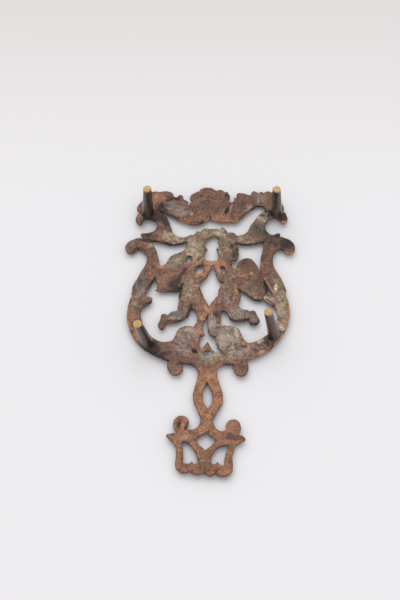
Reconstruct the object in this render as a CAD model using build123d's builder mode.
"""Ornamental sand-cast trivet with a pierced plate, a crowned handle and four peg feet.

It lies as stored: the decorated front on the table, the flat back upward and the feet standing up.
X runs across the plate, +Y runs from the crown of the handle to the crest, +Z is up. Millimetres.
The casting is one rigid body; every named ornament of it is its own solid and meets its
neighbours face to face along a straight cut.
"""
import os
from math import atan2, degrees, hypot, pi, sin

from build123d import *

# ---------------------------------------------------------------- driving dimensions
BACK = 5.0            # height of the flat back above the table
RELIEF = 1.7          # height of the carving that stands proud of the front of each section
FRONT_FIGURE = 0.0    # lowest point of the figures, shell, volutes, base, balls, garland and crown curls
FRONT_FRAME = 0.8     # lowest point of the border, horns, wings and crest leaves
FRONT_HANDLE = 0.6    # lowest point of the handle, crown and corner scrolls
FOOT_TALL = 32.0      # from the back of the plate to the tip of a foot
FOOT_BASE_R = 4.4     # radius of a foot just above its flare
FOOT_TIP_R = 3.05     # radius of a foot at its worn tip
FLARE_R = 5.4         # radius of the foot's flare where it leaves the plate
FLARE_TALL = 2.4      # height of that flare
FLARE_STEPS = 4       # rings that make the hollow curve of the flare

os.makedirs("parts", exist_ok=True)

# ---------------------------------------------------------------- joints between the sections
# Each joint is a straight cut, named for the two sections on its sides.
LEAF_SHELL_L = [(-17, 110.5), (-17.5, 95.5)]
LEAF_SHELL_R = [(16, 114.5), (17, 97)]
LEAF_HORN_L = [(-53.5, 104), (-48, 105.5), (-42.5, 107)]
LEAF_HORN_R = [(56, 107), (50, 107), (42, 107)]
SCROLL_HORN_L = [(-48, 105.5), (-47.5, 98)]
SCROLL_HORN_R = [(50, 107), (50.5, 101)]
HORN_VOLUTE_L = [(-49.5, 80.5), (-44.5, 78)]
HORN_VOLUTE_R = [(52.5, 83.5), (41, 78)]
HORN_GARLAND_L = [(-18, 77), (-17.5, 82)]
HORN_GARLAND_R = [(20.5, 83.5), (20.5, 78)]
VOLUTE_BORDER_L = [(-47.5, 54), (-36.5, 56)]
VOLUTE_BORDER_R = [(38, 52.5), (48, 55.5)]
WING_BORDER_L = [(-36.5, 56), (-39.5, 46)]
WING_BORDER_R = [(41, 43), (38, 52.5)]
HEAD_GARLAND_L = [(-18, 77), (-1, 80)]
HEAD_GARLAND_R = [(7.5, 80), (20.5, 78)]
WING_NECK_L = [(-15.5, 65), (-17, 72.5)]
WING_BACK_L = [(-19.5, 38), (-15, 58.5)]
WING_BACK_R = [(19, 53.5), (22, 35.5)]
EMBRACE = [(2.5, 61), (3, 56.5)]
KNEES = [(0.5, 21), (0, 16)]
LEG_LOBE_L = [(-5, -3.5), (-10.5, 3.5)]
LEG_LOBE_R = [(10, 5.5), (5.5, -4)]
BORDER_LOBE_L = [(-27, -24), (-27, -8)]
BORDER_LOBE_R = [(31, -8.5), (27, -22)]
LOBE_TULIP_L = [(-4.5, -13.5), (-11.5, -26.5)]
LOBE_TULIP_R = [(12, -26.5), (11.5, -18)]
BALL_LOBE_L = [(-18, -26), (-27, -24)]
BALL_LOBE_R = [(27, -22), (18, -26.5)]
TULIP_HANDLE = [(-6.5, -33.5), (6.5, -33.5)]
HANDLE_CROWN = [(-4.5, -68), (4.5, -68)]
CROWN_CURL_L = [(-14, -75.5), (-20.5, -79)]
CROWN_CURL_R = [(21.5, -81), (13, -76)]


def back(joint):
    """The same cut walked from its other end."""
    return joint[::-1]


# ---------------------------------------------------------------- outlines
# An outline is a ring of runs; a run of two points is a straight edge, a longer one a smooth
# curve, and each run starts where the one before it ends. LINE marks runs made of straight edges.
LINE = "line"

OUTLINES = {
    "crest_shell": (FRONT_FIGURE, [
        (LINE, back(LEAF_SHELL_L)),
        [(-17, 110.5), (-15, 113.5), (-13.5, 115.5)],
        [(-13.5, 115.5), (-15, 119), (-12.5, 123), (-9, 124.5)],
        [(-9, 124.5), (-6, 127.5), (-1, 129), (3, 127.5), (5, 126)],
        [(5, 126), (8, 127), (11, 125)],
        [(11, 125), (14.5, 123.5), (15.5, 120.5), (14, 117)],
        [(14, 117), (15, 115), (16, 114.5)],
        (LINE, LEAF_SHELL_R),
        [(17, 97), (11, 96), (5, 97), (0.5, 99.5)],
        [(0.5, 99.5), (-3, 96.5), (-9, 93.5), (-17.5, 95.5)],
    ]),
    "crest_leaf_left": (FRONT_FRAME, [
        (LINE, LEAF_SHELL_L),
        [(-17.5, 95.5), (-23, 97.5), (-30, 102), (-37, 106), (-42.5, 107)],
        (LINE, back(LEAF_HORN_L)),
        [(-53.5, 104), (-55.5, 107.5), (-52.5, 114.5), (-49, 121), (-43, 124.5), (-38.5, 124)],
        [(-38.5, 124), (-35, 124.5), (-30.5, 124), (-28, 119.5)],
        [(-28, 119.5), (-26, 119)],
        [(-26, 119), (-22.5, 121.5), (-20, 117)],
        [(-20, 117), (-17, 115), (-17, 110.5)],
    ]),
    "crest_leaf_right": (FRONT_FRAME, [
        (LINE, back(LEAF_SHELL_R)),
        [(16, 114.5), (18, 116), (18.5, 119)],
        [(18.5, 119), (20.5, 119.5)],
        [(20.5, 119.5), (22.5, 124), (26, 123.5), (31, 122)],
        [(31, 122), (34, 126), (37, 124.5)],
        [(37, 124.5), (39, 125.5), (41.5, 125)],
        [(41.5, 125), (44.5, 126.5), (50, 123.5), (54.5, 115), (56.5, 110), (56, 107)],
        (LINE, LEAF_HORN_R),
        [(42, 107), (41, 111), (37.5, 112), (33.5, 110), (28, 104.5), (23.5, 100), (20, 96), (17, 97)],
    ]),
    "corner_scroll_left": (FRONT_HANDLE, [
        (LINE, back(LEAF_HORN_L[:2])),
        [(-53.5, 104), (-55.5, 100), (-55.5, 95.5), (-52.5, 92)],
        [(-52.5, 92), (-50.5, 94.5), (-49, 97.5), (-47.5, 98)],
        (LINE, back(SCROLL_HORN_L)),
    ]),
    "corner_scroll_right": (FRONT_HANDLE, [
        (LINE, back(SCROLL_HORN_R)),
        (LINE, back(LEAF_HORN_R[:2])),
        [(56, 107), (58.5, 103.5), (59, 98.5), (56, 94.5)],
        [(56, 94.5), (53.5, 97.5), (50.5, 101)],
    ]),
    "horn_leaf_left": (FRONT_FRAME, [
        (LINE, SCROLL_HORN_L),
        [(-47.5, 98), (-43, 97), (-40, 94.5), (-40, 90), (-43.5, 86), (-50, 85.5)],
        [(-50, 85.5), (-51.5, 84), (-49.5, 80.5)],
        (LINE, HORN_VOLUTE_L),
        [(-44.5, 78), (-37, 77), (-29.5, 74.5), (-24, 75), (-18, 77)],
        (LINE, HORN_GARLAND_L),
        [(-17.5, 82), (-22, 82), (-26.5, 84.5), (-29, 91), (-32, 99.5), (-37, 105), (-42.5, 107)],
        (LINE, back(LEAF_HORN_L[1:])),
    ]),
    "horn_leaf_right": (FRONT_FRAME, [
        (LINE, LEAF_HORN_R[1:]),
        [(42, 107), (37.5, 103.5), (34.5, 98.5), (31, 93.5), (28.5, 87.5), (24, 84.5), (20.5, 83.5)],
        (LINE, HORN_GARLAND_R),
        [(20.5, 78), (26.5, 75.5), (33, 76), (41, 78)],
        (LINE, back(HORN_VOLUTE_R)),
        [(52.5, 83.5), (53, 86), (50.5, 86.5)],
        [(50.5, 86.5), (46.5, 85.5), (43, 89), (42.5, 95.5), (46, 100), (50.5, 101)],
        (LINE, back(SCROLL_HORN_R)),
    ]),
    "volute_left": (FRONT_FIGURE, [
        (LINE, back(HORN_VOLUTE_L)),
        [(-49.5, 80.5), (-56, 79.5), (-61, 76), (-62.5, 70.5), (-60, 66.5), (-56.5, 66.5), (-54.5, 68.5),
        (-53.5, 71)],
        [(-53.5, 71), (-50, 69), (-46, 63), (-46.5, 58), (-47.5, 54)],
        (LINE, VOLUTE_BORDER_L),
        [(-36.5, 56), (-38, 64), (-40.5, 71.5), (-44.5, 78)],
    ]),
    "volute_right": (FRONT_FIGURE, [
        (LINE, HORN_VOLUTE_R),
        [(41, 78), (39.5, 70.5), (38, 61), (38, 52.5)],
        (LINE, VOLUTE_BORDER_R),
        [(48, 55.5), (47, 62), (48.5, 68.5), (51.5, 71.5), (54.5, 72)],
        [(54.5, 72), (56, 69.5), (59, 67.5), (62, 68.5), (64, 73), (62.5, 78), (58, 82), (52.5, 83.5)],
    ]),
    "border_left": (FRONT_FRAME, [
        (LINE, back(VOLUTE_BORDER_L)),
        [(-47.5, 54), (-52, 45.5), (-55.5, 36)],
        [(-55.5, 36), (-56, 29)],
        [(-56, 29), (-58, 20), (-58, 10), (-53.5, -4.5), (-45, -15), (-36.5, -20.5), (-27, -24)],
        (LINE, BORDER_LOBE_L),
        [(-27, -8), (-33, -8.5), (-39, -5.5), (-44, 0), (-47.5, 8), (-48.5, 16)],
        [(-48.5, 16), (-46.5, 19.5), (-43, 22), (-41, 24.5), (-40.5, 26.5)],
        [(-40.5, 26.5), (-42, 28.5), (-44.5, 28.5)],
        [(-44.5, 28.5), (-45.5, 31.5), (-43.5, 35.5), (-41, 41), (-39.5, 46)],
        (LINE, back(WING_BORDER_L)),
    ]),
    "border_right": (FRONT_FRAME, [
        (LINE, back(VOLUTE_BORDER_R)),
        (LINE, back(WING_BORDER_R)),
        [(41, 43), (41.5, 38), (41, 33), (40.5, 29)],
        [(40.5, 29), (42, 25), (45, 22.5), (49, 19)],
        [(49, 19), (49.5, 12), (47.5, 4), (42, -2), (37, -6), (31, -8.5)],
        (LINE, BORDER_LOBE_R),
        [(27, -22), (35, -20), (43, -15), (48.5, -9), (55, 1.5), (58, 10.5), (58.5, 21), (56.5, 31.5)],
        [(56.5, 31.5), (56.5, 36)],
        [(56.5, 36), (54, 43.5), (48, 55.5)],
    ]),
    "base_lobe_left": (FRONT_FIGURE, [
        (LINE, back(BORDER_LOBE_L)),
        (LINE, back(BALL_LOBE_L)),
        [(-18, -26), (-15, -26), (-11.5, -26.5)],
        (LINE, back(LOBE_TULIP_L)),
        [(-4.5, -13.5), (-6, -11.5), (-5.5, -7), (-5, -3.5)],
        (LINE, LEG_LOBE_L),
        [(-10.5, 3.5), (-16, 4.5), (-21, 2), (-23, -3), (-24.5, -6.5), (-27, -8)],
    ]),
    "base_lobe_right": (FRONT_FIGURE, [
        (LINE, back(LOBE_TULIP_R)),
        (LINE, [(12, -26.5), (18, -26.5)]),
        (LINE, back(BALL_LOBE_R)),
        (LINE, back(BORDER_LOBE_R)),
        [(31, -8.5), (27.5, -7.5), (24, -2.5), (21, 3.5), (16, 5), (10, 5.5)],
        (LINE, LEG_LOBE_R),
        [(5.5, -4), (6, -9.5), (8, -14), (11.5, -18)],
    ]),
    "base_tulip": (FRONT_FIGURE, [
        (LINE, LOBE_TULIP_L),
        [(-11.5, -26.5), (-8.5, -29), (-6.5, -33.5)],
        (LINE, TULIP_HANDLE),
        [(6.5, -33.5), (6, -30)],
        [(6, -30), (8.5, -27.5), (12, -26.5)],
        (LINE, LOBE_TULIP_R),
        [(11.5, -18), (7.5, -18), (3, -14), (0, -8)],
        [(0, -8), (-2.5, -11.5), (-4.5, -13.5)],
    ]),
    "ball_left": (FRONT_FIGURE, [
        (LINE, BALL_LOBE_L),
        [(-27, -24), (-28, -29.5), (-25.5, -34), (-21.5, -35.5), (-18, -33), (-17, -29), (-18, -26)],
    ]),
    "ball_right": (FRONT_FIGURE, [
        (LINE, BALL_LOBE_R),
        [(18, -26.5), (18, -30), (20, -34), (23.5, -35.5), (27, -33.5), (28.5, -29.5), (28, -25),
        (27, -22)],
    ]),
    "cherub_left": (FRONT_FIGURE, [
        (LINE, HEAD_GARLAND_L),
        [(-1, 80), (-2.5, 77.5), (-3, 74), (-1, 71)],
        [(-1, 71), (-3, 67.5), (-4, 64), (-1.5, 61.5), (2.5, 61)],
        (LINE, EMBRACE),
        [(3, 56.5), (1, 52), (-1.5, 46), (-5.5, 42)],
        [(-5.5, 42), (-6, 35.5), (-3, 28), (0.5, 21)],
        (LINE, KNEES),
        [(0, 16), (-1.5, 11.5), (-3.5, 6), (-3.5, 1.5), (-2, -2.5)],
        [(-2, -2.5), (-3.5, -4), (-5, -3.5)],
        (LINE, LEG_LOBE_L),
        [(-10.5, 3.5), (-9, 6), (-8, 8.5)],
        [(-8, 8.5), (-8, 12.5), (-9.5, 17), (-12.5, 19)],
        [(-12.5, 19), (-15, 12.5), (-20, 8.5), (-29, 7)],
        [(-29, 7), (-30.5, 4.5), (-32.5, 0.5), (-35.5, 4), (-34.5, 9), (-34, 13), (-29, 13.5)],
        [(-29, 13.5), (-26.5, 16), (-22, 17)],
        [(-22, 17), (-22, 21.5), (-20.5, 25)],
        [(-20.5, 25), (-21.5, 30), (-21, 34), (-19.5, 38)],
        (LINE, WING_BACK_L),
        [(-15, 58.5), (-13.5, 61.5), (-13, 64), (-15.5, 65)],
        (LINE, WING_NECK_L),
        [(-17, 72.5), (-16.5, 75), (-18, 77)],
    ]),
    "cherub_right": (FRONT_FIGURE, [
        (LINE, back(EMBRACE)),
        [(2.5, 61), (6.5, 62.5), (7, 66), (5.5, 69.5), (6, 72)],
        [(6, 72), (7.5, 74.5), (6.5, 77), (7.5, 80)],
        (LINE, HEAD_GARLAND_R),
        [(20.5, 78), (19.5, 75.5)],
        [(19.5, 75.5), (22, 73), (22, 68), (22, 64.5), (20.5, 61)],
        [(20.5, 61), (17, 60.5)],
        [(17, 60.5), (17, 57.5), (19, 53.5)],
        (LINE, WING_BACK_R),
        [(22, 35.5), (23, 31), (23, 27.5), (22, 24.5), (23.5, 19.5)],
        [(23.5, 19.5), (26, 19), (30, 17.5)],
        [(30, 17.5), (33.5, 18), (35.5, 13.5), (37, 9), (34, 6), (31, 6), (29.5, 10.5)],
        [(29.5, 10.5), (22, 8.5), (16, 10), (14, 14), (11, 17)],
        [(11, 17), (9, 16), (9, 11), (9, 8), (10, 5.5)],
        (LINE, LEG_LOBE_R),
        [(5.5, -4), (2.5, -4), (0, -0.5)],
        [(0, -0.5), (-0.5, 5.5), (-0.5, 10), (0, 16)],
        (LINE, back(KNEES)),
        [(0.5, 21), (3, 25.5), (7, 30)],
        [(7, 30), (7, 33.5), (8.5, 38), (11, 42)],
        [(11, 42), (8, 42.5), (5.5, 47), (3, 56.5)],
    ]),
    "wing_left": (FRONT_FRAME, [
        (LINE, WING_BORDER_L),
        [(-39.5, 46), (-38, 41), (-37.5, 37), (-39, 34)],
        [(-39, 34), (-35, 33), (-29, 33.5), (-22.5, 33.5)],
        [(-22.5, 33.5), (-19.5, 38)],
        (LINE, WING_BACK_L),
        [(-15, 58.5), (-16, 62), (-15.5, 65)],
        (LINE, WING_NECK_L),
        [(-17, 72.5), (-20, 69), (-25, 66.5), (-29.5, 63), (-31.5, 58), (-36.5, 56)],
    ]),
    "wing_right": (FRONT_FRAME, [
        (LINE, back(WING_BORDER_R)),
        [(38, 52.5), (35.5, 57), (33, 61), (28, 63.5), (22, 60), (20.5, 56.5), (19, 53.5)],
        (LINE, WING_BACK_R),
        [(22, 35.5), (28, 31), (35, 26.5), (38, 26.5)],
        [(38, 26.5), (39.5, 33), (41, 43)],
    ]),
    "flower_garland": (FRONT_FIGURE, [
        (LINE, HORN_GARLAND_L),
        [(-17.5, 82), (-14.5, 83.5), (-11.5, 84)],
        [(-11.5, 84), (-10, 86.5), (-6.5, 87.5)],
        [(-6.5, 87.5), (-4, 90.5), (-0.5, 89.5)],
        [(-0.5, 89.5), (3, 90), (7.5, 89.5)],
        [(7.5, 89.5), (10.5, 91), (12.5, 89)],
        [(12.5, 89), (14.5, 86)],
        [(14.5, 86), (17, 86.5), (20.5, 83.5)],
        (LINE, HORN_GARLAND_R),
        (LINE, back(HEAD_GARLAND_R)),
        [(7.5, 80), (6, 82.5), (4, 83.5), (1.5, 82), (-1, 80)],
        (LINE, back(HEAD_GARLAND_L)),
    ]),
    "handle_loop": (FRONT_HANDLE, [
        (LINE, back(TULIP_HANDLE)),
        [(-6.5, -33.5), (-8, -42), (-9.5, -49), (-9.5, -54.5), (-6, -63.5), (-4.5, -68)],
        (LINE, HANDLE_CROWN),
        [(4.5, -68), (6, -65), (10, -58), (11, -52), (9, -43.5), (6.5, -33.5)],
    ]),
    "handle_crown": (FRONT_HANDLE, [
        (LINE, back(HANDLE_CROWN)),
        [(-4.5, -68), (-5, -73), (-9, -76.5), (-14, -75.5)],
        (LINE, CROWN_CURL_L),
        [(-20.5, -79), (-24, -79.5)],
        [(-24, -79.5), (-27, -81), (-23, -86), (-20.5, -91), (-20.5, -101), (-19, -106.5),
         (-15, -108.5), (-11, -107)],
        [(-11, -107), (-6.5, -109.5), (-1.5, -108)],
        [(-1.5, -108), (2.5, -110), (6.5, -108)],
        [(6.5, -108), (12, -110.5), (17, -107), (17.5, -99), (18, -93), (21, -87), (26, -83),
         (25, -81), (21.5, -81)],
        (LINE, CROWN_CURL_R),
        [(13, -76), (10, -77.5), (5.5, -74.5), (4.5, -68)],
    ]),
    "crown_curl_left": (FRONT_FIGURE, [
        (LINE, back(CROWN_CURL_L)),
        [(-14, -75.5), (-12, -71.5), (-13.5, -67.5), (-17, -66), (-21, -68), (-22.5, -72.5), (-20.5, -79)],
    ]),
    "crown_curl_right": (FRONT_FIGURE, [
        (LINE, back(CROWN_CURL_R)),
        [(21.5, -81), (23, -77), (23, -73), (21, -69.5), (18, -68.5), (15, -69.5), (13, -72.5), (13, -76)],
    ]),
}

# ---------------------------------------------------------------- piercings inside a section
PIERCINGS = {
    "cherub_left": [
        [[(-10, 51), (-7.5, 54.5), (-4, 56.5)], [(-4, 56.5), (-5.5, 51), (-8, 49), (-10, 51)]],
    ],
    "cherub_right": [
        [[(9, 56), (11.5, 53), (12.5, 49)], [(12.5, 49), (10, 51.5), (9, 56)]],
    ],
    "base_tulip": [
        [[(0.5, -16.5), (2.5, -19), (-1, -20.5), (-2, -19), (0.5, -16.5)]],
    ],
    "handle_loop": [
        [[(0, -41), (-2.5, -48), (-2.5, -54), (0.5, -60.5)], [(0.5, -60.5), (3.5, -54), (3, -48),
        (0, -41)]],
    ],
    "handle_crown": [
        [[(-0.5, -78.5), (6.5, -85)], [(6.5, -85), (-0.5, -91.5)], [(-0.5, -91.5), (-8, -84.5)],
         [(-8, -84.5), (-0.5, -78.5)]],
        [[(-16.5, -86), (-14, -86), (-8.5, -91), (-5, -100)], [(-5, -100), (-6.5, -101.5), (-9.5, -99.5)],
         [(-9.5, -99.5), (-12.5, -101.5), (-15.5, -100.5)], [(-15.5, -100.5), (-15.5, -93), (-16.5, -86)]],
        [[(15, -88), (10, -88.5), (4.5, -94), (3, -101)], [(3, -101), (5.5, -101.5), (7.5, -99.5)],
         [(7.5, -99.5), (9.5, -102), (12, -102)], [(12, -102), (12.5, -95), (15, -88)]],
    ],
}

# ---------------------------------------------------------------- carving on the front
# ROUND bosses are (x, y, radius); RIBS are (x, y, x, y, width) and have round ends.
BOSSES = {
    "cherub_left": [(-9.5, 71, 5.5), (-11, 46, 6), (-13, 31, 6), (-31.5, 9.5, 2.2)],
    "cherub_right": [(14, 70, 5.5), (15, 44, 5), (15, 30, 6), (33, 12, 2.2)],
    "flower_garland": [(-13, 80.5, 1.6), (-7.5, 83.5, 2.4), (-1, 85.5, 2.2), (6.5, 86.5, 2),
                       (12, 84.5, 2.6),
                       (17.5, 81.5, 1.8)],
    "volute_left": [(-58, 72.5, 3.4)],
    "volute_right": [(59, 75, 3.6)],
    "corner_scroll_left": [(-52, 98.5, 2.2)],
    "corner_scroll_right": [(55.5, 100.5, 2.2)],
    "base_lobe_left": [(-15, -3, 4.5)],
    "base_lobe_right": [(14.5, -3, 4.5)],
    "ball_left": [(-22.5, -30, 3.8)],
    "ball_right": [(23.5, -29.5, 3.8)],
    "handle_crown": [(-14, -82, 2), (12.5, -82.5, 2), (-15, -104.5, 2), (-6, -105, 2), (2.5, -105.5, 2),
                     (12, -106, 2)],
    "crown_curl_left": [(-17.5, -72, 2.8)],
    "crown_curl_right": [(18, -74, 2.8)],
}
RIBS = {
    "crest_shell": [(0, 102, 0, 125, 3), (4, 101, 9, 122, 3), (-4, 101, -9, 120, 3), (8, 100, 13, 111, 2.4),
                    (-8, 98, -13.5, 109, 2.4)],
    "crest_leaf_left": [(-22, 101, -47, 114, 2.4), (-30, 107, -35, 120, 2), (-22, 104, -23, 116, 2)],
    "crest_leaf_right": [(22, 102, 29, 112, 2.4), (31, 114, 50, 114, 2.4), (25, 112, 25, 119, 2)],
    "horn_leaf_left": [(-42, 101, -35, 86, 2.4), (-35, 86, -23, 78.5, 2.4)],
    "horn_leaf_right": [(43, 103, 37, 86, 2.4), (37, 86, 25, 79.5, 2.4)],
    "volute_left": [(-46, 74, -42, 60, 2.4)],
    "volute_right": [(47, 77, 43, 62, 2.4)],
    "border_left": [(-44, 50, -51, 28, 3), (-52, 25, -52.5, 8, 3), (-51, 4, -40, -12, 3),
                    (-39, -13, -30, -16, 3)],
    "border_right": [(45, 49, 51.5, 34, 3), (53, 29, 53.5, 12, 3), (52.5, 8, 44, -7, 3),
                     (42, -9, 33, -14, 3)],
    "wing_left": [(-22, 64, -34, 38, 2.2), (-20, 58, -28, 37, 2.2), (-27, 62, -35, 47, 2.2)],
    "wing_right": [(24, 57, 36, 31, 2.2), (23.5, 50, 30, 33, 2.2), (30, 59, 37, 44, 2.2)],
    "cherub_left": [(-14, 22, -27, 12, 5), (-7, 25, -6, 4, 3.6), (-7, 58, -1, 58.5, 2)],
    "cherub_right": [(15, 21, 27, 14, 5), (6, 23, 5, 4, 3.6), (6, 59, 12, 58, 2)],
    "base_tulip": [(0, -13, 0, -14.5, 1.6), (0, -23, 0, -31, 3)],
    "base_lobe_left": [(-15, -10, -15, -21, 3)],
    "base_lobe_right": [(15, -10, 17, -21, 3)],
    "handle_loop": [(-5.5, -44, -6, -56, 2), (6.5, -44, 7, -56, 2), (0, -36, 0, -38, 2)],
    "handle_crown": [(-18, -90, -18, -100, 2), (15.2, -93, 15, -101, 1.6), (-1, -95, -1, -101, 2)],
}

# ---------------------------------------------------------------- feet: where each stands and leans
FEET = {
    "foot_back_left": ((-47, 103), (-46, 102)),
    "foot_back_right": ((51, 104.5), (49, 103)),
    "foot_front_left": ((-42.5, -10.5), (-48, -13.5)),
    "foot_front_right": ((47, -3), (41, -2.5)),
}

def draw(runs):
    """Walk the runs of one outline inside the current BuildLine."""
    for run in runs:
        if run[0] == LINE:
            Polyline(*run[1])
        elif len(run) == 2:
            Line(*run)
        else:
            Spline(*run)


pieces = {}

for name, (front, runs) in OUTLINES.items():
    with BuildPart() as section:
        with BuildSketch(Plane.XY.offset(front + RELIEF)):
            with BuildLine():
                draw(runs)
            make_face()
            for ring in PIERCINGS.get(name, []):
                with BuildLine():
                    draw(ring)
                make_face(mode=Mode.SUBTRACT)
        extrude(amount=BACK - front - RELIEF)
        with BuildSketch(Plane.XY.offset(front)):
            for x, y, radius in BOSSES.get(name, []):
                with Locations((x, y)):
                    Circle(radius)
            for x0, y0, x1, y1, width in RIBS.get(name, []):
                with Locations(((x0 + x1) / 2, (y0 + y1) / 2)):
                    SlotCenterToCenter(hypot(x1 - x0, y1 - y0), width,
                                       rotation=degrees(atan2(y1 - y0, x1 - x0)))
        extrude(amount=RELIEF)
    pieces[name] = section.part

for name, (root, tip) in FEET.items():
    rings = []                                   # (height, radius) up the foot
    for i in range(FLARE_STEPS + 1):
        up = i / FLARE_STEPS
        rings.append((FLARE_TALL * up, FOOT_BASE_R + (FLARE_R - FOOT_BASE_R) * (1 - sin(up * pi / 2))))
    rings.append((FOOT_TALL, FOOT_TIP_R))
    with BuildPart() as foot:
        for height, radius in rings:
            along = height / FOOT_TALL
            with BuildSketch(Plane.XY.offset(BACK + height)):
                with Locations((root[0] + (tip[0] - root[0]) * along, root[1] + (tip[1] - root[1]) * along)):
                    Circle(radius)
        loft(ruled=True)
    pieces[name] = foot.part

# ---------------------------------------------------------------- one shared origin and export
boxes = [piece.bounding_box() for piece in pieces.values()]
low = [min(getattr(box.min, axis) for box in boxes) for axis in "XYZ"]
high = [max(getattr(box.max, axis) for box in boxes) for axis in "XYZ"]
to_origin = Location((-(low[0] + high[0]) / 2, -(low[1] + high[1]) / 2, -low[2]))

for name, piece in pieces.items():
    placed = piece.moved(to_origin)
    placed.label = name
    export_step(placed, f"parts/{name}.step")
    box = placed.bounding_box()
    print(f"{name:22s} {box.size.X:7.2f} {box.size.Y:7.2f} {box.size.Z:6.2f} solids {len(placed.solids())}"
          f" volume {placed.volume:8.1f}")
print("overall", [round(high[i] - low[i], 2) for i in range(3)],
      "shift", [round(v, 3) for v in to_origin.position])
